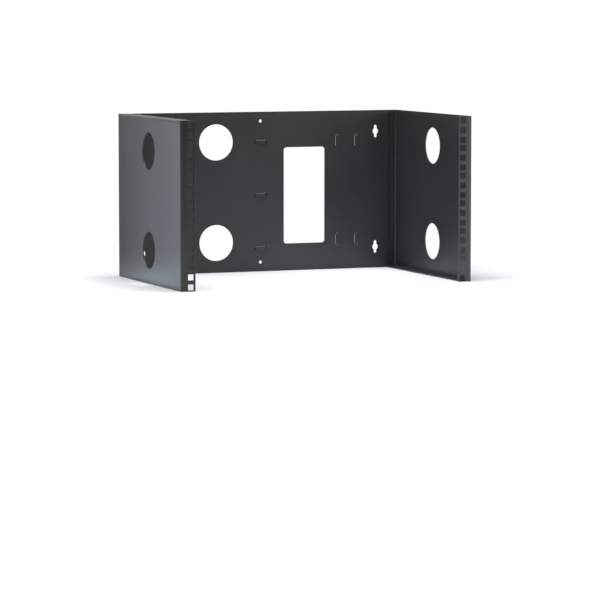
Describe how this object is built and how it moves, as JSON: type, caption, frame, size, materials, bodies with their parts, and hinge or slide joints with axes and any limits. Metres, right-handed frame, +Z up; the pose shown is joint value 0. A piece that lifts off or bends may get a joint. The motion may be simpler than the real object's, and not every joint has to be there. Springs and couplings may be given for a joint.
{
  "type": "wall mount open frame rack",
  "caption": "Open steel wall frame for rack equipment: flat back plate with cable openings and tie bridges, and two folded sides, one turned end over end, whose front flanges are square-hole rails.",
  "frame": {"origin": "middle of the footprint, on the surface that the rack stands on", "axes": "+X to the right seen from the front, +Y towards the wall, +Z up"},
  "size_m": [0.498, 0.3048, 0.2667],
  "materials": {
    "back_plate_coat": "satin black powder coat",
    "side_panel_coat": "satin black powder coat"
  },
  "bodies": {
    "root": {"back_plate": "back_plate_coat", "left_side_panel": "side_panel_coat", "right_side_panel": "side_panel_coat"}
  },
  "joints": []
}
